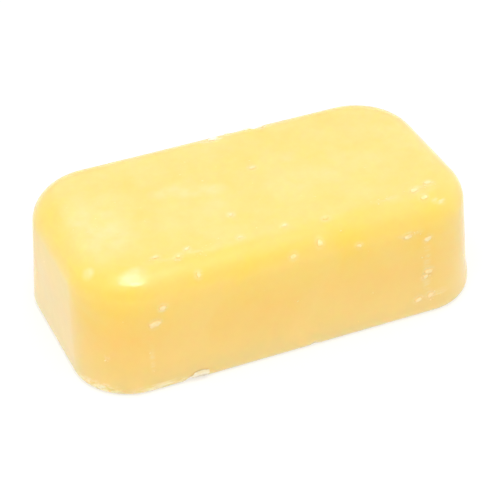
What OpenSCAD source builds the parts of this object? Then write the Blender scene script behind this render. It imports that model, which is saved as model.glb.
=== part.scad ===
// Clay bar: one moulded block of detailing clay, with the crumbs and flakes that cling to it.
// The foot rests on Z = 0, the origin is the centre of the foot, and the front wall faces -Y.

/* [Bar] */
// Length of the bar over its foot
bar_length = 100; // [80:1:140]
// Width of the bar over its foot
bar_width = 54.8; // [44:0.2:80]
// Height from the foot to the flat top
bar_height = 30.8; // [22:0.2:45]
// Lean of the four walls in degrees, so that the bar drops out of its mould
wall_draft = 2.5; // [0:0.5:6]
// Radius of the four upright corners, measured round the foot
corner_radius = 14; // [10:0.5:20]
// Rounding between the walls and the flat top
top_round = 6.7; // [3:0.1:9]
// Rounding between the foot and the walls
foot_round = 2; // [0.5:0.1:3.5]

/* [Crumbs] */
// Length of a full-sized crumb
crumb_size = 2; // [1:0.1:3]
// Width of a crumb as a share of its length
crumb_aspect = 0.6; // [0.4:0.05:1]
// How far a crumb stands off the clay
crumb_proud = 0.4; // [0.2:0.05:0.8]
// How far a crumb's outline is drawn below the clay before the clay trims it
crumb_root = 0.5; // [0.3:0.05:1]
// Size of a crumb's crown as a share of its base
crumb_crown = 0.55; // [0.3:0.05:0.9]
// Length of the one large crumb low on the front wall
large_crumb_size = 2.8; // [1.5:0.1:5]

/* [Foot flake] */
// Length of the flake that has lifted from the front foot edge
flake_length = 4.8; // [3:0.1:9]
// Height of the flake from its lower edge to the edge that still holds
flake_height = 2; // [1.2:0.1:3]
// Thickness of the flake
flake_thickness = 0.4; // [0.2:0.05:0.8]
// How far the flake leans out from the wall, in degrees
flake_lift = 8; // [4:1:15]
// Height of the flake's upper edge over the foot
flake_top = 3; // [2.8:0.1:6]
// Distance from the left end of the bar to the middle of the flake
flake_from_end = 25.6; // [20:0.2:40]

/* [Foot nick] */
// Length of the nick along the foot edge, under the flake
nick_length = 6.4; // [3:0.1:10]
// Distance from the left end of the bar to the middle of the nick
nick_from_end = 24.8; // [20:0.2:40]
// Depth of the nick
nick_depth = 0.6; // [0.2:0.1:0.8]
// Radius of the scooped face of the nick
nick_radius = 3; // [2:0.5:6]

/* [Back edge flakes] */
// Length of the longest flake on the top edge at the back
back_flake_length = 3.4; // [2:0.1:6]
// Distance between the flakes along the edge
back_flake_pitch = 4.2; // [4:0.1:8]

/* [Hidden] */

// Facets on a quarter turn of the two roundings, which the outline below draws by formula
TOP_STEPS = 12;
FOOT_STEPS = 5;
CHIP_SIDES = 7;
LEAST_TOP_REACH = 0.5;

// The wall is the straight line that touches both roundings, so the top one sits further in
wall_rise = bar_height - foot_round - top_round;
top_centre_in = foot_round - (foot_round - top_round - wall_rise * sin(wall_draft)) / cos(wall_draft);
corner_reach = max(corner_radius, top_centre_in + LEAST_TOP_REACH);
straight_x = bar_length / 2 - corner_reach;
straight_y = bar_width / 2 - corner_reach;
flat_y = bar_width / 2 - top_centre_in;
foot_edge_y = bar_width / 2 - foot_round;

// Crumbs on the flat top: along the bar, across the flat, share of crumb_size, turn in degrees.
// Along is a share of straight_x and across is a share of flat_y.
TOP_SPOTS = [
    [1.05, -0.89, 0.8, 20], [0.93, -0.97, 1, 35], [-0.85, -0.94, 0.5, 0], [-0.64, -0.94, 0.55, 60],
    [-0.29, -0.98, 0.5, 15], [0.01, -0.98, 0.6, 40], [-0.25, -0.53, 0.5, 80], [0.09, 0.27, 0.7, 10]
];

// Crumbs on the rounding over the front wall: along, tilt of the clay in degrees, share, turn
EDGE_SPOTS = [
    [0.96, 69, 1, 15], [-0.72, 84, 0.55, 30], [0.28, 82, 0.6, 25],
    [-0.64, 37, 0.7, 70], [0.18, 35, 1, 85], [-0.01, 23, 0.9, 5], [0.44, 9, 0.5, 0]
];

// Crumbs on the front wall: along, share of the flat wall's height, share of crumb_size, turn
FRONT_SPOTS = [
    [-0.9, 0.93, 0.8, 30], [0.93, 0.89, 0.75, 20], [0.94, 0.48, 1, 12], [0.92, 0.42, 0.6, 40],
    [0.87, 0.15, 0.8, 25], [0.96, 0.17, 0.7, 70], [0.79, 0.98, 0.9, 10]
];
LARGE_CRUMB = [-0.95, 0.76, 15];

// Flakes on the top edge at the back: place along the edge in pitches, tilt, share of the longest
BACK_SPOTS = [[0, 72, 1], [1, 60, 0.6], [2.2, 66, 0.8], [3.1, 58, 0.5]];

// The flake's ragged outline, in shares of its length and its height
FLAKE_OUTLINE = [[-0.5, 0.4], [-0.3, 0.05], [0.1, 0], [0.5, 0.25], [0.42, 0.8], [0.1, 1], [-0.25, 0.9]];

// Half of the bar's outline in section: out from the axis, round the foot, up the wall, over the top
function arc(centre, radius, from, to, steps) =
    [for (i = [0:steps]) let (a = from + (to - from) * i / steps) centre + radius * [cos(a), sin(a)]];

function half_outline(reach) = concat(
    [[0, 0]],
    arc([reach - foot_round, foot_round], foot_round, -90, wall_draft, FOOT_STEPS),
    arc([reach - top_centre_in, bar_height - top_round], top_round, wall_draft, 90, TOP_STEPS),
    [[0, bar_height]]
);

// A straight run of the bar, outlined across it
module run(half_length, reach) {
    rotate([90, 0, 0])
    linear_extrude(height = 2 * half_length, center = true)
    for (side = [0, 1])
        mirror([side, 0])
            polygon(half_outline(reach));
}

module block() {
    run(straight_y, bar_length / 2);
    rotate([0, 0, 90])
        run(straight_x, bar_width / 2);
    for (quarter = [0:3])
        let (sx = quarter == 0 || quarter == 3 ? 1 : -1, sy = quarter < 2 ? 1 : -1)
            translate([sx * straight_x, sy * straight_y, 0])
                rotate([0, 0, 90 * quarter])
                    rotate_extrude(angle = 90, $fn = 96)
                        polygon(half_outline(corner_reach));
}

// Sets its children on the clay over the front wall, with their Z along the clay's own outward way
module on_round(along, tilt) {
    translate([
        along * straight_x,
        -(flat_y + top_round * cos(tilt)),
        bar_height - top_round + top_round * sin(tilt)
    ])
        rotate([90 - tilt, 0, 0])
            children();
}

module on_wall(along, up) {
    low_y = foot_edge_y + foot_round * cos(wall_draft);
    low_z = foot_round + foot_round * sin(wall_draft);
    high_y = flat_y + top_round * cos(wall_draft);
    high_z = bar_height - top_round + top_round * sin(wall_draft);
    translate([along * straight_x, -(low_y + (high_y - low_y) * up), low_z + (high_z - low_z) * up])
        rotate([90 - wall_draft, 0, 0])
            children();
}

module on_flat(along, across) {
    translate([along * straight_x, across * flat_y, bar_height])
        children();
}

// A ragged crumb with sloped sides. Its root is inside the clay, which trims it.
module crumb(size, turn) {
    reach = rands(0.7, 1, CHIP_SIDES, turn + size);
    step = 360 / CHIP_SIDES;
    rotate([0, 0, turn])
    translate([0, 0, -crumb_root])
    linear_extrude(height = crumb_root + crumb_proud, scale = crumb_crown)
    polygon([
        for (i = [0:CHIP_SIDES - 1])
            size / 2 * reach[i] * [cos(i * step), crumb_aspect * sin(i * step)]
    ]);
}

// Scoops the foot edge along the middle of its rounding
module nick_scoop() {
    translate([nick_from_end - bar_length / 2, -foot_edge_y, foot_round])
        rotate([45, 0, 0])
            translate([0, -(foot_round + nick_radius - nick_depth), 0])
                rotate([0, 90, 0])
                    cylinder(h = nick_length, r = nick_radius, center = true, $fn = 48);
}

module bar() {
    color("#F9DE85")
    difference() {
        block();
        nick_scoop();
    }
}

module top_crumbs() {
    color("#FFF7CF")
    difference() {
        for (spot = TOP_SPOTS)
            on_flat(spot[0], spot[1])
                crumb(spot[2] * crumb_size, spot[3]);
        block();
    }
}

module edge_crumbs() {
    color("#FFF3B8")
    difference() {
        for (spot = EDGE_SPOTS)
            on_round(spot[0], spot[1])
                crumb(spot[2] * crumb_size, spot[3]);
        block();
    }
}

module front_crumbs() {
    color("#FBE3A6")
    difference() {
        union() {
            for (spot = FRONT_SPOTS)
                on_wall(spot[0], spot[1])
                    crumb(spot[2] * crumb_size, spot[3]);
            on_wall(LARGE_CRUMB[0], LARGE_CRUMB[1])
                crumb(large_crumb_size, LARGE_CRUMB[2]);
        }
        block();
    }
}

// The flake hangs from its upper edge, which still holds to the wall, and leans out below it
module foot_flake() {
    color("#FCEBC0")
    difference() {
        translate([flake_from_end - bar_length / 2, -foot_edge_y - foot_round, flake_top])
            rotate([90 - flake_lift, 0, 0])
                translate([0, -flake_height, -flake_thickness / 2])
                    linear_extrude(height = flake_thickness)
                        polygon([for (p = FLAKE_OUTLINE) [p[0] * flake_length, p[1] * flake_height]]);
        block();
    }
}

module back_edge_flakes() {
    color("#FFF2B0")
    difference() {
        for (spot = BACK_SPOTS)
            rotate([0, 0, 180])
                on_round(-spot[0] * back_flake_pitch / straight_x, spot[1])
                    crumb(spot[2] * back_flake_length, 0);
        block();
    }
}

bar();
top_crumbs();
edge_crumbs();
front_crumbs();
foot_flake();
back_edge_flakes();
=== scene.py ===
import math

import bpy
from mathutils import Matrix, Vector


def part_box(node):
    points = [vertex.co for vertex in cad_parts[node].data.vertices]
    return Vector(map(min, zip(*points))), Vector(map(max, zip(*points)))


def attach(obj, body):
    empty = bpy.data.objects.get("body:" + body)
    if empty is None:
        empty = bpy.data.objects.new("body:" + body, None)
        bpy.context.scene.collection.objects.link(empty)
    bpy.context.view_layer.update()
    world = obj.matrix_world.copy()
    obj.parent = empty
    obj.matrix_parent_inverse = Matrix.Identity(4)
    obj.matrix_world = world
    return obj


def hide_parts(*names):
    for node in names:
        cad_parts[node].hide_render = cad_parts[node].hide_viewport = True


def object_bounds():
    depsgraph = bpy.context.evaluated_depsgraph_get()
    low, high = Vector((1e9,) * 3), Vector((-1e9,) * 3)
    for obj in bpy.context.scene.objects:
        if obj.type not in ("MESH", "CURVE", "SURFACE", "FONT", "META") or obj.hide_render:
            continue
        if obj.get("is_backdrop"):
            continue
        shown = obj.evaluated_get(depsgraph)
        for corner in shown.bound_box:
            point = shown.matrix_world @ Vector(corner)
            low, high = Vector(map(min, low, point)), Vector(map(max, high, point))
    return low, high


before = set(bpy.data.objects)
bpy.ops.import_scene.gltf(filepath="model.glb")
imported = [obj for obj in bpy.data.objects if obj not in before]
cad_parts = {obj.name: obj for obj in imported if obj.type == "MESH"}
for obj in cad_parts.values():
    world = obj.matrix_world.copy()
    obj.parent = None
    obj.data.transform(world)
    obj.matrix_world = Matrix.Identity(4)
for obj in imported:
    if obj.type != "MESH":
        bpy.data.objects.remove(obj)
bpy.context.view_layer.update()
MM = 0.001


# ---- The table top and the view of it ----
# A sheet of matt white card lies under the bar and runs on out of sight, so nothing breaks the
# pale ground. The camera stands a long arm's length off with a long lens, looking down on the
# front wall and the left end.
VIEW_TURN, VIEW_RISE, VIEW_ROLL = math.radians(-22.9), math.radians(35.87), math.radians(-1.09)
VIEW_DISTANCE, VIEW_LENS = 0.4518, 135.7
AIM_HEIGHT = 11.35 * MM
CARD_SIDE = 60.0


def linear(colour, alpha=1.0):
    """A colour written as sRGB hex, such as "#F8D070", in the linear values that shaders take."""
    parts = [int(colour[i:i + 2], 16) / 255 for i in (1, 3, 5)]
    return [c / 12.92 if c <= 0.04045 else ((c + 0.055) / 1.055) ** 2.4 for c in parts] + [alpha]


def node(tree, kind, inputs=(), **settings):
    """Adds a node. inputs gives its sockets, by name or number, a value, an output or a node."""
    made = tree.nodes.new(kind)
    for key, value in settings.items():
        setattr(made, key, value)
    for key, value in dict(inputs).items():
        if isinstance(value, bpy.types.Node):
            value = value.outputs[0]
        if isinstance(value, bpy.types.NodeSocket):
            tree.links.new(value, made.inputs[key])
        else:
            made.inputs[key].default_value = value
    return made


def material(name):
    """An empty node material and its tree."""
    made = bpy.data.materials.new(name)
    made.use_nodes = True
    made.node_tree.nodes.clear()
    return made, made.node_tree


back = Vector((
    math.sin(VIEW_TURN) * math.cos(VIEW_RISE),
    -math.cos(VIEW_TURN) * math.cos(VIEW_RISE),
    math.sin(VIEW_RISE),
))
camera = bpy.data.objects.new("view", bpy.data.cameras.new("view"))
camera.data.lens = VIEW_LENS
camera.data.sensor_width = 36.0
camera.data.clip_start, camera.data.clip_end = 0.01, 100.0
camera.location = Vector((0, 0, AIM_HEIGHT)) + back * VIEW_DISTANCE
camera.rotation_mode = "QUATERNION"
camera.rotation_quaternion = (-back).to_track_quat("-Z", "Y") @ Matrix.Rotation(VIEW_ROLL, 3, "Z").to_quaternion()
bpy.context.collection.objects.link(camera)
bpy.context.scene.camera = camera
bpy.context.scene.view_settings.view_transform = "Standard"

# Uncoated white card: matt, and lit so evenly that the ground stays pale right up to the bar.
card_finish, tree = material("white_card_matt")
card = node(tree, "ShaderNodeBsdfPrincipled", {
    "Base Color": linear("#A8A8A6"),
    "Roughness": 0.9,
    "Emission Color": linear("#FFFFFF"),
    "Emission Strength": 0.6,
})
node(tree, "ShaderNodeOutputMaterial", {"Surface": card})
half = CARD_SIDE / 2
card_mesh = bpy.data.meshes.new("table_card")
card_mesh.from_pydata([(-half, -half, 0), (half, -half, 0), (half, half, 0), (-half, half, 0)], [], [(0, 1, 2, 3)])
card_mesh.materials.append(card_finish)
card_object = bpy.data.objects.new("table_card", card_mesh)
bpy.context.collection.objects.link(card_object)
card_object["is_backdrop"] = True

# A light tent: white behind the bar, a little less so on the right, and dim in front.
TENT_DIM, TENT_BACK, TENT_RIGHT = 0.32, 0.46, 0.24
world = bpy.data.worlds.new("light_tent")
world.use_nodes = True
tree = world.node_tree
tree.nodes.clear()
way = node(tree, "ShaderNodeTexCoord").outputs["Generated"]
way = node(tree, "ShaderNodeSeparateXYZ", {0: way}).outputs
from_back = node(tree, "ShaderNodeMapRange", {
    "Value": way["Y"], "From Min": -0.9, "From Max": 0.3, "To Min": TENT_DIM, "To Max": TENT_DIM + TENT_BACK,
}, interpolation_type="SMOOTHSTEP")
from_right = node(tree, "ShaderNodeMapRange", {
    "Value": way["X"], "From Min": -0.2, "From Max": 0.9, "To Min": 0.0, "To Max": TENT_RIGHT,
}, interpolation_type="SMOOTHSTEP")
glow = node(tree, "ShaderNodeMath", {0: from_back.outputs[0], 1: from_right.outputs[0]}, operation="ADD")
tent = node(tree, "ShaderNodeBackground", {"Color": linear("#FFFFFF"), "Strength": glow})
node(tree, "ShaderNodeOutputWorld", {"Surface": tent})
bpy.context.scene.world = world


def softbox(name, direction, distance, size, power):
    """A square lamp that faces the bar from the given direction."""
    lamp = bpy.data.objects.new(name, bpy.data.lights.new(name, "AREA"))
    lamp.data.size = size
    lamp.data.energy = power
    away = Vector(direction).normalized()
    lamp.location = away * distance
    lamp.rotation_mode = "QUATERNION"
    lamp.rotation_quaternion = (-away).to_track_quat("-Z", "Y")
    bpy.context.collection.objects.link(lamp)


# A broad softbox high over the front left, brighter in the middle, where it shows as the soft
# highlight on the near corner. The last, small lamp is the bright spot low in that highlight.
KEY = (-0.17, -0.37, 0.91)
softbox("key_softbox", KEY, 0.8, 0.8, 1.2)
softbox("key_bright_middle", KEY, 0.78, 0.44, 2.2)
softbox("key_hot_middle", (-0.17, -0.54, 0.82), 0.76, 0.11, 0.55)


# ---- The bar ----
# One block of detailing clay, a tacky polymer putty loaded with fine abrasive. It is pressed or
# poured into a mould with leaning walls and rounded edges, and has no skin, wrapper or insert.
low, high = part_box("bar")
bar_length, bar_width, bar_height = high - low
FOOT_CORNER = 13.9 * MM
CORNER_GROWTH = 2.8 * MM
TOP_ROUND = 6.7 * MM
FOOT_ROUND = 2.0 * MM
WALL_DRAFT = math.radians(2.5)
SWELL, SWELL_SIZE = 0.3 * MM, 30 * MM
RIPPLE, RIPPLE_SIZE = 0.06 * MM, 4 * MM
CELL = 0.55 * MM

# Middle, reach and push in mm of the two nicks in the front foot edge, the lips at the two ends and
# the two dents in the top edge at the back
NICKS_AND_LIPS = [
    ((-25.2, -27.4, 0), (3.6, 2.4, 2.4), (0, 0.6, 0.6)), ((4.8, -27.4, 0.4), (1.6, 1.6, 1.8), (0, 0.3, 0.35)),
    ((50, -16, 3), (10, 14, 4), (0.35, -0.1, 0)), ((-50, 0, 22), (12, 26, 14), (-0.2, 0, 0)),
    ((12.4, 23, 30), (2.4, 3, 3), (0, -0.45, -0.45)), ((-1, 22, 31), (3.4, 2.4, 2), (0, -0.2, -0.25)),
]

# The clay is smeared pale around the crumbs of these nodes
SMEARED = ("top_crumbs", "edge_crumbs", "front_crumbs")

# Share of the bar's height and the clay's colour there, from the foot to the flat top. The walls grow
# paler towards the foot, and the foot itself is duller and less red: painted shade where the bar meets the card.
WALL_COLOURS_WITH_FOOT_SHADE = [
    (0.0, "#E0D194"), (0.07, "#E8D286"), (0.22, "#F1D177"), (0.5, "#FDCC66"),
    (0.76, "#FFD256"), (0.92, "#FED865"), (0.995, "#FED36A"),
]
PATCH_COLOUR = "#FDD67F"
# the pale of the dry bloom, the rubbed marks and the smears, and also of the painted sheen on the top and the
# painted highlights
BLOOM_AND_SHEEN_COLOUR = "#FFF3CE"

# Middle, reach and strength in mm of the broad pale hazes on the top; the last two, on the near corner, are
# painted highlights
HAZES_AND_HIGHLIGHTS = [
    ((-18.5, 4, 31), (8, 4, 3), 0.19), ((-13, 2.2, 31), (7, 3.8, 3), 0.22), ((-8.5, 0.7, 31), (5, 3.4, 3), 0.2),
    ((-32, 5.5, 31), (9, 7, 3), 0.14), ((-39, -3, 31), (13, 17, 3), 0.2), ((-42, -10, 30), (6, 9, 4), 0.22),
    ((14, -6, 31), (18, 9, 3), 0.09), ((-37.2, -21.8, 30), (4.8, 2.8, 2.8), 0.42),
    ((-45.6, -15.9, 29.3), (2.2, 2.2, 2.5), 0.5),
]

# The same of the small marks where thumb and mould have rubbed pale, dry clay on; the last, at the right end of
# the front rounding, is a painted highlight
RUB_MARKS_AND_HIGHLIGHT = [
    ((25.6, -19.5, 31), (4.5, 1, 2), 0.3), ((36.5, -18, 31), (4.5, 1.4, 2), 0.3),
    ((-23, -20.3, 31), (12, 2.2, 2), 0.16), ((29, -26, 24.3), (5, 4, 1), 0.25),
    ((33.5, -27, 13), (1.6, 5, 11), 0.22), ((-35.5, -27, 9.6), (1, 5, 5), 0.2),
    ((-32.3, -26, 22.4), (1.4, 4, 0.9), 0.45), ((-44.9, -24, 10.7), (0.8, 5, 1.6), 0.2),
    ((36, -27, 5.8), (5, 6, 1.6), 0.25), ((-46, -20, 1.6), (7, 9, 2.4), 1.0),
    ((-34, -27, 1.5), (10, 5, 1.7), 0.8), ((-0.1, 20.8, 30.6), (3, 1.6, 2), 1.0),
    ((12.6, 22.6, 30), (1.8, 2.2, 2), 1.0), ((38, -23.2, 29.3), (3, 1.3, 2), 0.5),
]


def soft_oval(tree, place, middle, reach, edge, strength):
    """How much of a mark with a middle and reach in mm is left at place: none at its rim, and all of
    it from the share edge of its reach inwards."""
    away = node(tree, "ShaderNodeVectorMath", {0: place, 1: Vector(middle) * MM}, operation="SUBTRACT")
    away = node(tree, "ShaderNodeVectorMath", {0: away, 1: Vector(reach) * MM}, operation="DIVIDE")
    away = node(tree, "ShaderNodeVectorMath", {0: away}, operation="LENGTH").outputs["Value"]
    return node(tree, "ShaderNodeMapRange", {
        "Value": away, "From Min": 1.0, "From Max": edge, "To Max": strength,
    }, interpolation_type="SMOOTHSTEP").outputs[0]


def rounded_edge():
    """A node group that rounds the square edge where two faces meet at 0, in a point's X and Y."""
    tree = bpy.data.node_groups.new("rounded_edge", "GeometryNodeTree")
    tree.interface.new_socket("Point", in_out="INPUT", socket_type="NodeSocketVector")
    tree.interface.new_socket("Radius", in_out="INPUT", socket_type="NodeSocketFloat")
    tree.interface.new_socket("Point", in_out="OUTPUT", socket_type="NodeSocketVector")
    given = node(tree, "NodeGroupInput").outputs
    inside = node(tree, "ShaderNodeMath", {0: given["Radius"], 1: -1.0}, operation="MULTIPLY")
    limit = node(tree, "ShaderNodeCombineXYZ", {"X": inside, "Y": inside})
    centre = node(tree, "ShaderNodeVectorMath", {0: given["Point"], 1: limit}, operation="MINIMUM")
    spoke = node(tree, "ShaderNodeVectorMath", {0: given["Point"], 1: centre}, operation="SUBTRACT")
    way = node(tree, "ShaderNodeVectorMath", {0: spoke}, operation="NORMALIZE")
    reach = node(tree, "ShaderNodeVectorMath", {0: way, "Scale": given["Radius"]}, operation="SCALE")
    rounded = node(tree, "ShaderNodeVectorMath", {0: centre, 1: reach}, operation="ADD")
    node(tree, "NodeGroupOutput", {0: rounded})
    return tree


def pressed_bar():
    """Geometry nodes that turn a box into the bar: rims rounded, walls leaned in, corners rounded."""
    tree = bpy.data.node_groups.new("pressed_bar", "GeometryNodeTree")
    for name in ("Length", "Width", "Height", "Foot Corner", "Corner Growth", "Top Round", "Foot Round",
                 "Lean", "Cell", "Swell", "Swell Size", "Ripple", "Ripple Size"):
        tree.interface.new_socket(name, in_out="INPUT", socket_type="NodeSocketFloat")
    for name in SMEARED:
        tree.interface.new_socket(name, in_out="INPUT", socket_type="NodeSocketObject")
    tree.interface.new_socket("Finish", in_out="INPUT", socket_type="NodeSocketMaterial")
    tree.interface.new_socket("Bar", in_out="OUTPUT", socket_type="NodeSocketGeometry")
    size = node(tree, "NodeGroupInput").outputs
    rounder = rounded_edge()

    # a box of even cells, with its foot on the ground
    counts = []
    for name in ("Length", "Width", "Height"):
        cells = node(tree, "ShaderNodeMath", {0: size[name], 1: size["Cell"]}, operation="DIVIDE")
        counts.append(node(tree, "ShaderNodeMath", {0: cells}, operation="ROUND"))
    extent = node(tree, "ShaderNodeCombineXYZ", {"X": size["Length"], "Y": size["Width"], "Z": size["Height"]})
    box = node(tree, "GeometryNodeMeshCube", {
        "Size": extent, "Vertices X": counts[0], "Vertices Y": counts[1], "Vertices Z": counts[2],
    })
    place = node(tree, "GeometryNodeInputPosition")
    place_z = node(tree, "ShaderNodeSeparateXYZ", {0: place}).outputs["Z"]
    plan = node(tree, "ShaderNodeVectorMath", {0: place, 1: (1, 1, 0)}, operation="MULTIPLY")
    quarter = node(tree, "ShaderNodeVectorMath", {0: plan}, operation="ABSOLUTE")

    # how far each point lies inside the rim of the box
    rim = node(tree, "ShaderNodeVectorMath", {0: extent, 1: (0.5, 0.5, 0)}, operation="MULTIPLY")
    gap = node(tree, "ShaderNodeVectorMath", {0: rim, 1: quarter}, operation="SUBTRACT")
    gaps = node(tree, "ShaderNodeSeparateXYZ", {0: gap}).outputs
    inset = node(tree, "ShaderNodeMath", {0: gaps["X"], 1: gaps["Y"]}, operation="MINIMUM")
    ring = node(tree, "ShaderNodeVectorMath", {0: rim, 1: inset}, operation="SUBTRACT")

    # the rim above the middle gets the top rounding and the one below it gets the foot rounding
    outward = node(tree, "ShaderNodeMath", {0: inset, 1: -1.0}, operation="MULTIPLY")
    half_height = node(tree, "ShaderNodeMath", {0: size["Height"], 1: 0.5}, operation="MULTIPLY")
    off_middle = node(tree, "ShaderNodeMath", {0: place_z}, operation="ABSOLUTE")
    short_of_face = node(tree, "ShaderNodeMath", {0: off_middle, 1: half_height}, operation="SUBTRACT")
    section = node(tree, "ShaderNodeCombineXYZ", {"X": outward, "Y": short_of_face})
    upper = node(tree, "ShaderNodeMath", {0: place_z, 1: 0.0}, operation="GREATER_THAN")
    rim_round = node(tree, "ShaderNodeMix", {0: upper, 2: size["Foot Round"], 3: size["Top Round"]})
    rim_point = node(tree, "GeometryNodeGroup", {"Point": section, "Radius": rim_round}, node_tree=rounder)
    section = node(tree, "ShaderNodeSeparateXYZ", {0: rim_point}).outputs
    inset = node(tree, "ShaderNodeMath", {0: section["X"], 1: -1.0}, operation="MULTIPLY")
    off_middle = node(tree, "ShaderNodeMath", {0: section["Y"], 1: half_height}, operation="ADD")
    which_half = node(tree, "ShaderNodeMath", {0: place_z}, operation="SIGN")
    height = node(tree, "ShaderNodeMath", {0: off_middle, 1: which_half, 2: half_height}, operation="MULTIPLY_ADD")

    # the walls lean in above the foot rounding, and each level keeps its place on its own ring
    climb = node(tree, "ShaderNodeMath", {0: height, 1: size["Foot Round"]}, operation="SUBTRACT")
    climb = node(tree, "ShaderNodeMath", {0: climb, 1: 0.0}, operation="MAXIMUM")
    lean = node(tree, "ShaderNodeMath", {0: climb, 1: size["Lean"]}, operation="MULTIPLY")
    leaned = node(tree, "ShaderNodeVectorMath", {0: rim, 1: lean}, operation="SUBTRACT")
    share = node(tree, "ShaderNodeVectorMath", {0: leaned, 1: rim}, operation="DIVIDE")
    level = node(tree, "ShaderNodeVectorMath", {0: rim, 1: inset}, operation="SUBTRACT")
    level = node(tree, "ShaderNodeVectorMath", {0: level, 1: share}, operation="MULTIPLY")
    place = node(tree, "ShaderNodeVectorMath", {0: quarter, 1: ring}, operation="DIVIDE")
    place = node(tree, "ShaderNodeVectorMath", {0: place, 1: level}, operation="MULTIPLY")

    # the upright corners, a little rounder at the top than at the foot
    rise = node(tree, "ShaderNodeMath", {0: height, 1: size["Height"]}, operation="DIVIDE")
    radius = node(tree, "ShaderNodeMath", {
        0: rise, 1: size["Corner Growth"], 2: size["Foot Corner"],
    }, operation="MULTIPLY_ADD")
    radius = node(tree, "ShaderNodeMath", {0: radius, 1: inset}, operation="SUBTRACT")
    radius = node(tree, "ShaderNodeMath", {0: radius, 1: lean}, operation="SUBTRACT")
    radius = node(tree, "ShaderNodeMath", {0: radius, 1: 0.0}, operation="MAXIMUM")
    from_corner = node(tree, "ShaderNodeVectorMath", {0: place, 1: level}, operation="SUBTRACT")
    corner = node(tree, "GeometryNodeGroup", {"Point": from_corner, "Radius": radius}, node_tree=rounder)
    place = node(tree, "ShaderNodeVectorMath", {0: corner, 1: level}, operation="ADD")
    side = node(tree, "ShaderNodeVectorMath", {0: plan}, operation="SIGN")
    place = node(tree, "ShaderNodeVectorMath", {0: place, 1: side}, operation="MULTIPLY")
    flat = node(tree, "ShaderNodeSeparateXYZ", {0: place}).outputs
    place = node(tree, "ShaderNodeCombineXYZ", {"X": flat["X"], "Y": flat["Y"], "Z": height})
    shaped = node(tree, "GeometryNodeSetPosition", {"Geometry": box, "Position": place})

    # the slow swell and fine ripple of clay that shrank as it cooled, none of it under the foot
    moved = shaped
    at = node(tree, "GeometryNodeInputPosition")
    at_z = node(tree, "ShaderNodeSeparateXYZ", {0: at}).outputs["Z"]
    clear = node(tree, "ShaderNodeMapRange", {
        "Value": at_z, "From Max": size["Foot Round"],
    }, interpolation_type="SMOOTHSTEP")
    for amount, grain in (("Swell", "Swell Size"), ("Ripple", "Ripple Size")):
        pitch = node(tree, "ShaderNodeMath", {0: 1.0, 1: size[grain]}, operation="DIVIDE")
        wave = node(tree, "ShaderNodeTexNoise", {"Scale": pitch, "Detail": 2.0}, noise_dimensions="3D")
        centred = node(tree, "ShaderNodeMath", {0: wave.outputs[0], 1: 0.5}, operation="SUBTRACT")
        throw = node(tree, "ShaderNodeMath", {0: centred, 1: size[amount]}, operation="MULTIPLY")
        throw = node(tree, "ShaderNodeMath", {0: throw, 1: clear.outputs[0]}, operation="MULTIPLY")
        normal = node(tree, "GeometryNodeInputNormal")
        push = node(tree, "ShaderNodeVectorMath", {0: normal, "Scale": throw}, operation="SCALE")
        moved = node(tree, "GeometryNodeSetPosition", {"Geometry": moved, "Offset": push})

    # the nicks, lips and dents, each a push that dies away from its middle
    for middle, reach, push in NICKS_AND_LIPS:
        share = soft_oval(tree, at, middle, reach, 0.3, 1.0)
        offset = node(tree, "ShaderNodeVectorMath", {0: Vector(push) * MM, "Scale": share}, operation="SCALE")
        moved = node(tree, "GeometryNodeSetPosition", {"Geometry": moved, "Offset": offset})

    # how far each point lies from a crumb, for the smear that was left when the crumb was pressed on
    chips = node(tree, "GeometryNodeJoinGeometry")
    for name in SMEARED:
        chip = node(tree, "GeometryNodeObjectInfo", {"Object": size[name]}).outputs["Geometry"]
        tree.links.new(chip, chips.inputs[0])
    gap = node(tree, "GeometryNodeProximity", {0: chips}, target_element="FACES").outputs["Distance"]
    moved = node(tree, "GeometryNodeStoreNamedAttribute", {
        "Geometry": moved, "Name": "crumb_gap", "Value": gap,
    }, data_type="FLOAT", domain="POINT")

    smooth = node(tree, "GeometryNodeSetShadeSmooth", {"Geometry": moved})
    real = node(tree, "GeometryNodeRealizeInstances", {"Geometry": smooth})
    finished = node(tree, "GeometryNodeSetMaterial", {"Geometry": real, "Material": size["Finish"]})
    node(tree, "NodeGroupOutput", {0: finished})
    return tree


def grow(name, tree, values, start=None):
    """Runs a geometry tree with its inputs set by socket name and returns the result as a plain mesh."""
    seed = bpy.data.objects.new(name + "_seed", start or bpy.data.meshes.new(name + "_seed"))
    bpy.context.collection.objects.link(seed)
    modifier = seed.modifiers.new("grow", "NODES")
    modifier.node_group = tree
    for item in tree.interface.items_tree:
        if item.in_out == "INPUT" and item.name in values:
            modifier[item.identifier] = values[item.name]
    evaluated = seed.evaluated_get(bpy.context.evaluated_depsgraph_get())
    mesh = bpy.data.meshes.new_from_object(evaluated)
    bpy.data.objects.remove(seed)
    mesh.name = name
    mesh.materials.clear()
    mesh.materials.append(values["Finish"])
    made = bpy.data.objects.new(name, mesh)
    bpy.context.collection.objects.link(made)
    return made


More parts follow.
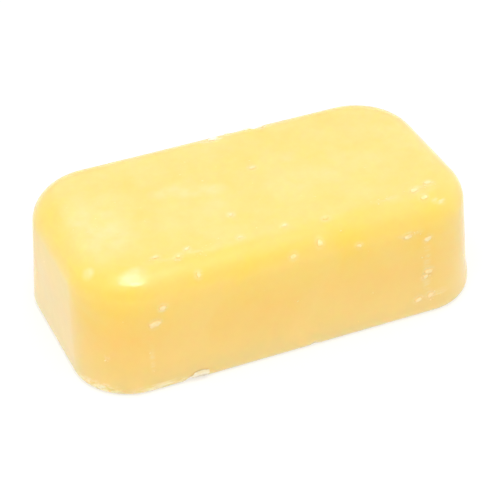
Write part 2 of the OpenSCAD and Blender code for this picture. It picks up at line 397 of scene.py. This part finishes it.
def clay_finish():
    """Pressed detailing clay. The eye sees a satin, waxy yellow that light sinks into. The roundings
    are a deeper yellow and the walls grow paler towards the foot, with painted shade at the foot itself.
    The flat top carries a thin pale bloom that is partly painted sheen. Two pale hazes on the near corner
    and one pale mark at the right end of the front rounding are painted highlights."""
    made, tree = material("detailing_clay_pressed")
    place = node(tree, "ShaderNodeTexCoord").outputs["Object"]
    along = node(tree, "ShaderNodeSeparateXYZ", {0: place}).outputs
    facing = node(tree, "ShaderNodeNewGeometry").outputs["Normal"]
    upward = node(tree, "ShaderNodeSeparateXYZ", {0: facing}).outputs["Z"]

    # the wall's colour by height: deeper yellow under the rounding, paler towards the foot, and painted shade at
    # the foot itself
    rise = node(tree, "ShaderNodeMath", {0: along["Z"], 1: bar_height}, operation="DIVIDE")
    wall = node(tree, "ShaderNodeValToRGB", {0: rise})
    stops = wall.color_ramp.elements
    stops.remove(stops[1])
    stops[0].color = linear(WALL_COLOURS_WITH_FOOT_SHADE[0][1])
    for height, colour in WALL_COLOURS_WITH_FOOT_SHADE[1:]:
        stops.new(height).color = linear(colour)

    # slow patches of warmer and yellower clay, as it was kneaded
    knead = node(tree, "ShaderNodeTexNoise", {
        "Vector": place, "Scale": 1 / (16 * MM), "Detail": 4.0, "Roughness": 0.6, "Distortion": 0.6,
    })
    patches = node(tree, "ShaderNodeMapRange", {
        "Value": knead.outputs[0], "From Min": 0.35, "From Max": 0.65, "To Min": 0.0, "To Max": 0.5,
    })
    body = node(tree, "ShaderNodeMix", {
        0: patches.outputs[0], 6: wall.outputs["Color"], 7: linear(PATCH_COLOUR),
    }, data_type="RGBA").outputs[2]

    # a thin pale bloom on the flat top, in patches, partly painted sheen: it is laid only on faces that look
    # straight up
    flat = node(tree, "ShaderNodeMapRange", {"Value": upward, "From Min": 0.93, "From Max": 0.995})
    haze = node(tree, "ShaderNodeTexNoise", {
        "Vector": place, "Scale": 1 / (11 * MM), "Detail": 5.0, "Roughness": 0.62,
    })
    haze = node(tree, "ShaderNodeMapRange", {
        "Value": haze.outputs[0], "From Min": 0.38, "From Max": 0.68, "To Min": 0.0, "To Max": 0.14,
    })
    bloom = node(tree, "ShaderNodeMath", {0: flat.outputs[0], 1: haze.outputs[0]}, operation="MULTIPLY")
    body = node(tree, "ShaderNodeMix", {0: bloom, 6: body, 7: linear(BLOOM_AND_SHEEN_COLOUR)}, data_type="RGBA").outputs[2]

    # the hazes and rubbed marks, each a soft oval, among them the painted highlights: cloud breaks up a haze and
    # streaks break up a mark
    cloud = node(tree, "ShaderNodeTexNoise", {"Vector": place, "Scale": 1 / (3.5 * MM), "Detail": 4.0})
    stretch = node(tree, "ShaderNodeVectorMath", {0: place, 1: (0.35, 1, 1.6)}, operation="MULTIPLY")
    streaks = node(tree, "ShaderNodeTexNoise", {"Vector": stretch, "Scale": 1 / (1.1 * MM), "Detail": 4.0})
    for marks, breakup, thinnest in ((HAZES_AND_HIGHLIGHTS, cloud, 0.5), (RUB_MARKS_AND_HIGHLIGHT, streaks, 0.0)):
        marks_and_highlights = 0.0
        for middle, reach, strength in marks:
            mark = soft_oval(tree, place, middle, reach, 0.2, strength)
            marks_and_highlights = node(tree, "ShaderNodeMath", {0: marks_and_highlights, 1: mark}, operation="MAXIMUM").outputs[0]
        left = node(tree, "ShaderNodeMapRange", {
            "Value": breakup.outputs[0], "From Min": 0.38, "From Max": 0.62, "To Min": thinnest,
        }).outputs[0]
        marks_and_highlights = node(tree, "ShaderNodeMath", {0: marks_and_highlights, 1: left}, operation="MULTIPLY").outputs[0]
        body = node(tree, "ShaderNodeMix", {
            0: marks_and_highlights, 6: body, 7: linear(BLOOM_AND_SHEEN_COLOUR),
        }, data_type="RGBA").outputs[2]

    # and the thin smear that melts away around each crumb
    gap = node(tree, "ShaderNodeAttribute", attribute_name="crumb_gap").outputs["Fac"]
    smear = node(tree, "ShaderNodeMapRange", {
        "Value": gap, "From Min": 1.5 * MM, "From Max": 0.0, "To Max": 0.3,
    }, interpolation_type="SMOOTHSTEP").outputs[0]
    left = node(tree, "ShaderNodeMapRange", {
        "Value": streaks.outputs[0], "From Min": 0.35, "From Max": 0.6, "To Min": 0.3,
    }).outputs[0]
    smear = node(tree, "ShaderNodeMath", {0: smear, 1: left}, operation="MULTIPLY").outputs[0]
    body = node(tree, "ShaderNodeMix", {0: smear, 6: body, 7: linear(BLOOM_AND_SHEEN_COLOUR)}, data_type="RGBA").outputs[2]

    grain = node(tree, "ShaderNodeTexNoise", {"Vector": place, "Scale": 1 / (0.8 * MM), "Detail": 4.0})
    wave = node(tree, "ShaderNodeTexNoise", {"Vector": place, "Scale": 1 / (3.5 * MM), "Detail": 3.0})
    bump = node(tree, "ShaderNodeBump", {"Height": wave.outputs[0], "Strength": 0.5, "Distance": 0.12 * MM})
    bump = node(tree, "ShaderNodeBump", {
        "Height": grain.outputs[0], "Strength": 0.3, "Distance": 0.06 * MM, "Normal": bump,
    })
    clay = node(tree, "ShaderNodeBsdfPrincipled", {
        "Base Color": body,
        "Roughness": 0.45,
        "IOR": 1.47,
        "Specular IOR Level": 0.3,
        "Subsurface Weight": 1.0,
        "Subsurface Radius": (1.0, 0.5, 0.22),
        "Subsurface Scale": 4 * MM,
        "Coat Weight": 0.9,
        "Coat Roughness": 0.2,
        "Normal": bump,
    })
    node(tree, "ShaderNodeOutputMaterial", {"Surface": clay})
    return made


clay = clay_finish()
bar = grow("clay_block", pressed_bar(), {
    "Length": bar_length, "Width": bar_width, "Height": bar_height,
    "Foot Corner": FOOT_CORNER, "Corner Growth": CORNER_GROWTH,
    "Top Round": TOP_ROUND, "Foot Round": FOOT_ROUND, "Lean": math.tan(WALL_DRAFT), "Cell": CELL,
    "Swell": SWELL, "Swell Size": SWELL_SIZE, "Ripple": RIPPLE, "Ripple Size": RIPPLE_SIZE,
    "Finish": clay, **{name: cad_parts[name] for name in SMEARED},
})
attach(bar, "root")
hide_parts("bar")


# ---- Crumbs and flakes ----
# Torn bits of the same clay, some pressed back on in passing and some still hanging by an edge. They
# dried out pale. Each CAD chip gives the place and size, and is torn here into a ragged, pitted crumb.
# For each CAD node: the piece's name, how far a crumb is drawn out along the bar, how far it swelled in
# mm, the share of its height that is left, its colours damp and dry, and the mm at which it is all dry.
CRUMBS = {
    "top_crumbs": ("torn_top_crumbs", 1.5, 0.28, 0.25, "#FED98E", "#FFE8B4", 0.8),
    "edge_crumbs": ("torn_edge_crumbs", 1.3, 0.28, 0.28, "#FED270", "#FFEFB8", 0.9),
    "front_crumbs": ("torn_front_crumbs", 1.5, 0.32, 0.35, "#FBD283", "#FFF4CA", 0.95),
    "foot_flake": ("lifted_foot_flake", 1.0, 0.0, 0.6, "#F2E0B2", "#FFF7E2", 0.55),
    "back_edge_flakes": ("lifted_back_flakes", 1.0, 0.25, 0.35, "#FEF3CC", "#FFFBEA", 0.8),
}
RAGGED, GRIT = 0.7 * MM, 0.8 * MM
# the grey-brown of the painted shade under the lifted flake, on the last millimetre over the table
LOW_SHADE_COLOUR = "#A8957C"


def torn_chips():
    """Geometry nodes that turn a copy of the sharp CAD chips into soft, ragged crumbs."""
    tree = bpy.data.node_groups.new("torn_chips", "GeometryNodeTree")
    tree.interface.new_socket("Chips", in_out="INPUT", socket_type="NodeSocketGeometry")
    tree.interface.new_socket("Clay", in_out="INPUT", socket_type="NodeSocketObject")
    for name in ("Stretch", "Swollen", "Pressed", "Ragged", "Grit Size"):
        tree.interface.new_socket(name, in_out="INPUT", socket_type="NodeSocketFloat")
    tree.interface.new_socket("Finish", in_out="INPUT", socket_type="NodeSocketMaterial")
    tree.interface.new_socket("Crumbs", in_out="OUTPUT", socket_type="NodeSocketGeometry")
    given = node(tree, "NodeGroupInput").outputs
    whole = node(tree, "GeometryNodeMergeByDistance", {"Geometry": given["Chips"], "Distance": 0.02 * MM})
    smeared = node(tree, "GeometryNodeScaleElements", {
        "Geometry": whole, "Scale": given["Stretch"], "Axis": (1, 0, 0),
    }, domain="FACE", scale_mode="SINGLE_AXIS")
    fine = node(tree, "GeometryNodeSubdivideMesh", {"Mesh": smeared, "Level": 3})
    place = node(tree, "GeometryNodeInputPosition")
    softened = node(tree, "GeometryNodeBlurAttribute", {
        "Value": place, "Iterations": 3,
    }, data_type="FLOAT_VECTOR")
    soft = node(tree, "GeometryNodeSetPosition", {"Geometry": fine, "Position": softened.outputs["Value"]})
    outward = node(tree, "GeometryNodeInputNormal")
    growth = node(tree, "ShaderNodeVectorMath", {0: outward, "Scale": given["Swollen"]}, operation="SCALE")
    soft = node(tree, "GeometryNodeSetPosition", {"Geometry": soft, "Offset": growth})
    pitch = node(tree, "ShaderNodeMath", {0: 1.0, 1: given["Grit Size"]}, operation="DIVIDE")
    grit = node(tree, "ShaderNodeTexNoise", {"Scale": pitch, "Detail": 3.0}, noise_dimensions="3D")
    throw = node(tree, "ShaderNodeVectorMath", {
        0: grit.outputs["Color"], 1: (0.5, 0.5, 0.5),
    }, operation="SUBTRACT")
    throw = node(tree, "ShaderNodeVectorMath", {0: throw, "Scale": given["Ragged"]}, operation="SCALE")
    torn = node(tree, "GeometryNodeSetPosition", {"Geometry": soft, "Offset": throw})

    # pressed down on the clay, so that only a share of each crumb's height is left
    block = node(tree, "GeometryNodeObjectInfo", {"Object": given["Clay"]}).outputs["Geometry"]
    under = node(tree, "GeometryNodeProximity", {0: block}, target_element="FACES").outputs["Position"]
    proud = node(tree, "ShaderNodeVectorMath", {0: place, 1: under}, operation="SUBTRACT")
    sunk = node(tree, "ShaderNodeVectorMath", {0: proud, "Scale": given["Pressed"]}, operation="SCALE")
    sunk = node(tree, "ShaderNodeVectorMath", {0: under, 1: sunk}, operation="ADD")
    thick = node(tree, "ShaderNodeVectorMath", {0: proud}, operation="LENGTH").outputs["Value"]
    torn = node(tree, "GeometryNodeStoreNamedAttribute", {
        "Geometry": torn, "Name": "thickness", "Value": thick,
    }, data_type="FLOAT", domain="POINT")
    pressed = node(tree, "GeometryNodeSetPosition", {"Geometry": torn, "Position": sunk})
    smooth = node(tree, "GeometryNodeSetShadeSmooth", {"Geometry": pressed})
    real = node(tree, "GeometryNodeRealizeInstances", {"Geometry": smooth})
    finished = node(tree, "GeometryNodeSetMaterial", {"Geometry": real, "Material": given["Finish"]})
    node(tree, "NodeGroupOutput", {0: finished})
    return tree


def dry_clay(name, damp, dry, full):
    """Torn clay that has dried. The eye sees a soft, chalky cream where it is as thick as full, melting
    into the yellow of the bar at its thin rim, with pits too small to count and no shine."""
    made, tree = material(name)
    place = node(tree, "ShaderNodeTexCoord").outputs["Object"]
    patch = node(tree, "ShaderNodeTexNoise", {"Vector": place, "Scale": 1 / (1.2 * MM), "Detail": 3.0})
    patch = node(tree, "ShaderNodeMapRange", {
        "Value": patch.outputs[0], "From Min": 0.35, "From Max": 0.65, "To Min": 0.4,
    })
    thickness = node(tree, "ShaderNodeAttribute", attribute_name="thickness").outputs["Fac"]
    body = node(tree, "ShaderNodeMapRange", {
        "Value": thickness, "From Min": 0.2 * full, "From Max": full,
    }, interpolation_type="SMOOTHSTEP")
    dryness = node(tree, "ShaderNodeMath", {0: patch.outputs[0], 1: body.outputs[0]}, operation="MULTIPLY")
    colour = node(tree, "ShaderNodeMix", {
        0: dryness, 6: linear(damp), 7: linear(dry),
    }, data_type="RGBA").outputs[2]

    # the last millimetre over the table is painted darker, as painted shade under the lifted flake
    low_down = node(tree, "ShaderNodeSeparateXYZ", {0: place}).outputs["Z"]
    low_shade = node(tree, "ShaderNodeMapRange", {
        "Value": low_down, "From Min": 1.9 * MM, "From Max": 1.1 * MM, "To Max": 0.9,
    })
    colour = node(tree, "ShaderNodeMix", {
        0: low_shade.outputs[0], 6: colour, 7: linear(LOW_SHADE_COLOUR),
    }, data_type="RGBA").outputs[2]

    pits = node(tree, "ShaderNodeTexNoise", {"Vector": place, "Scale": 1 / (0.25 * MM), "Detail": 3.0})
    bump = node(tree, "ShaderNodeBump", {"Height": pits.outputs[0], "Strength": 0.6, "Distance": 0.08 * MM})
    clay = node(tree, "ShaderNodeBsdfPrincipled", {
        "Base Color": colour,
        "Roughness": 0.7,
        "IOR": 1.47,
        "Subsurface Weight": 0.2,
        "Subsurface Radius": (1.0, 0.6, 0.35),
        "Subsurface Scale": 0.2 * MM,
        "Normal": bump,
    })
    node(tree, "ShaderNodeOutputMaterial", {"Surface": clay})
    return made


tearing = torn_chips()
for cad_name, (name, stretch, swollen, pressed, damp, dry, full) in CRUMBS.items():
    crumbs = grow(name, tearing, {
        "Clay": bar, "Stretch": stretch, "Swollen": swollen * MM, "Pressed": pressed, "Ragged": RAGGED,
        "Grit Size": GRIT, "Finish": dry_clay(name + "_dry_clay", damp, dry, full * MM),
    }, start=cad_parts[cad_name].data.copy())
    # a crumb this thin lets the light through to the clay, and only the lifted flake has a shadow
    crumbs.visible_shadow = cad_name == "foot_flake"
    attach(crumbs, "root")
    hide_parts(cad_name)


# ---- Fine crumbs ----
# Grains of dry clay, none much larger than half a millimetre, dusted where the bar was gripped and
# where it slid in its mould. They stick by themselves and come off on a fingertip.
FINE_CRUMB, ROUGHENED = 0.7 * MM, 0.15 * MM
DUSTING, DUST_SEED = 0.9e6, 7
TABLE_GAP = 1.0 * MM

# Middle and reach of each dusted patch in mm, and how thickly the grains lie there
DUSTED = [
    ((-23, -20, 30.5), (14, 3.8, 3), 0.6), ((36, -18.5, 30.3), (6, 3, 3), 1.2),
    ((25.5, -19.5, 30.8), (5, 1.5, 2), 0.9), ((33.6, -27, 19), (1.6, 5, 6), 0.6),
    ((33.6, -27, 12), (2.6, 5, 2), 1.6), ((35.5, -27, 5.6), (5, 6, 1.8), 1.2),
    ((-35.5, -27, 9.6), (0.9, 5, 6), 1.6), ((-32.6, -26, 22.2), (1.6, 4, 1.3), 3.0),
    ((-44.9, -24, 10.7), (0.9, 5, 1.6), 1.4), ((-38, 0, 31), (15, 15, 2), 0.12),
    ((28, -26, 24.3), (6, 4, 1), 1.0), ((0, 0, 16), (70, 45, 30), 0.025),
]


def dusted_grains():
    """Geometry nodes that dust small grains over the clay, thickly in patches and sparsely elsewhere."""
    tree = bpy.data.node_groups.new("dusted_grains", "GeometryNodeTree")
    tree.interface.new_socket("Clay", in_out="INPUT", socket_type="NodeSocketGeometry")
    for name in ("Grain", "Dusting"):
        tree.interface.new_socket(name, in_out="INPUT", socket_type="NodeSocketFloat")
    tree.interface.new_socket("Seed", in_out="INPUT", socket_type="NodeSocketInt")
    tree.interface.new_socket("Finish", in_out="INPUT", socket_type="NodeSocketMaterial")
    tree.interface.new_socket("Grains", in_out="OUTPUT", socket_type="NodeSocketGeometry")
    given = node(tree, "NodeGroupInput").outputs
    place = node(tree, "GeometryNodeInputPosition")
    thickness = 0.0
    for middle, reach, share in DUSTED:
        patch = soft_oval(tree, place, middle, reach, 0.0, share)
        thickness = node(tree, "ShaderNodeMath", {0: thickness, 1: patch}, operation="MAXIMUM").outputs[0]
    density = node(tree, "ShaderNodeMath", {0: thickness, 1: given["Dusting"]}, operation="MULTIPLY")
    height = node(tree, "ShaderNodeSeparateXYZ", {0: place}).outputs["Z"]
    off_table = node(tree, "ShaderNodeMath", {0: height, 1: TABLE_GAP}, operation="GREATER_THAN")
    density = node(tree, "ShaderNodeMath", {0: density, 1: off_table}, operation="MULTIPLY")
    spread = node(tree, "GeometryNodeDistributePointsOnFaces", {
        "Mesh": given["Clay"], "Density": density, "Seed": given["Seed"],
    })
    grain = node(tree, "GeometryNodeMeshUVSphere", {"Segments": 7, "Rings": 5, "Radius": 0.5})
    share = node(tree, "FunctionNodeRandomValue", {
        "Min": 0.25, "Max": 1.0, "Seed": given["Seed"],
    }, data_type="FLOAT")
    spin = node(tree, "FunctionNodeRandomValue", {"Max": math.tau, "Seed": 3}, data_type="FLOAT")
    spin = node(tree, "ShaderNodeCombineXYZ", {"Z": spin.outputs["Value"]})
    extent = node(tree, "ShaderNodeMath", {0: share.outputs["Value"], 1: given["Grain"]}, operation="MULTIPLY")
    extent = node(tree, "ShaderNodeVectorMath", {0: (1.0, 0.6, 0.25), "Scale": extent}, operation="SCALE")
    placed = node(tree, "GeometryNodeInstanceOnPoints", {
        "Points": spread.outputs["Points"], "Instance": grain.outputs["Mesh"],
        "Rotation": spread.outputs["Rotation"], "Scale": extent,
    })
    spun = node(tree, "GeometryNodeRotateInstances", {"Instances": placed, "Rotation": spin})
    real = node(tree, "GeometryNodeRealizeInstances", {"Geometry": spun})
    rough = node(tree, "ShaderNodeTexNoise", {"Scale": 1 / (0.35 * MM), "Detail": 2.0}, noise_dimensions="3D")
    throw = node(tree, "ShaderNodeVectorMath", {
        0: rough.outputs["Color"], 1: (0.5, 0.5, 0.5),
    }, operation="SUBTRACT")
    throw = node(tree, "ShaderNodeVectorMath", {0: throw, "Scale": ROUGHENED}, operation="SCALE")
    uneven = node(tree, "GeometryNodeSetPosition", {"Geometry": real, "Offset": throw})
    thick = node(tree, "GeometryNodeProximity", {0: given["Clay"]}, target_element="FACES").outputs["Distance"]
    uneven = node(tree, "GeometryNodeStoreNamedAttribute", {
        "Geometry": uneven, "Name": "thickness", "Value": thick,
    }, data_type="FLOAT", domain="POINT")
    smooth = node(tree, "GeometryNodeSetShadeSmooth", {"Geometry": uneven})
    finished = node(tree, "GeometryNodeSetMaterial", {"Geometry": smooth, "Material": given["Finish"]})
    node(tree, "NodeGroupOutput", {0: finished})
    return tree


grains = grow("fine_crumbs", dusted_grains(), {
    "Grain": FINE_CRUMB, "Dusting": DUSTING, "Seed": DUST_SEED,
    "Finish": dry_clay("fine_crumb_dry_clay", "#FED880", "#FFECB4", 0.1 * MM),
}, start=bar.data.copy())
grains.visible_shadow = False
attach(grains, "root")


# ---- How large the model came out ----
low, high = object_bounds()
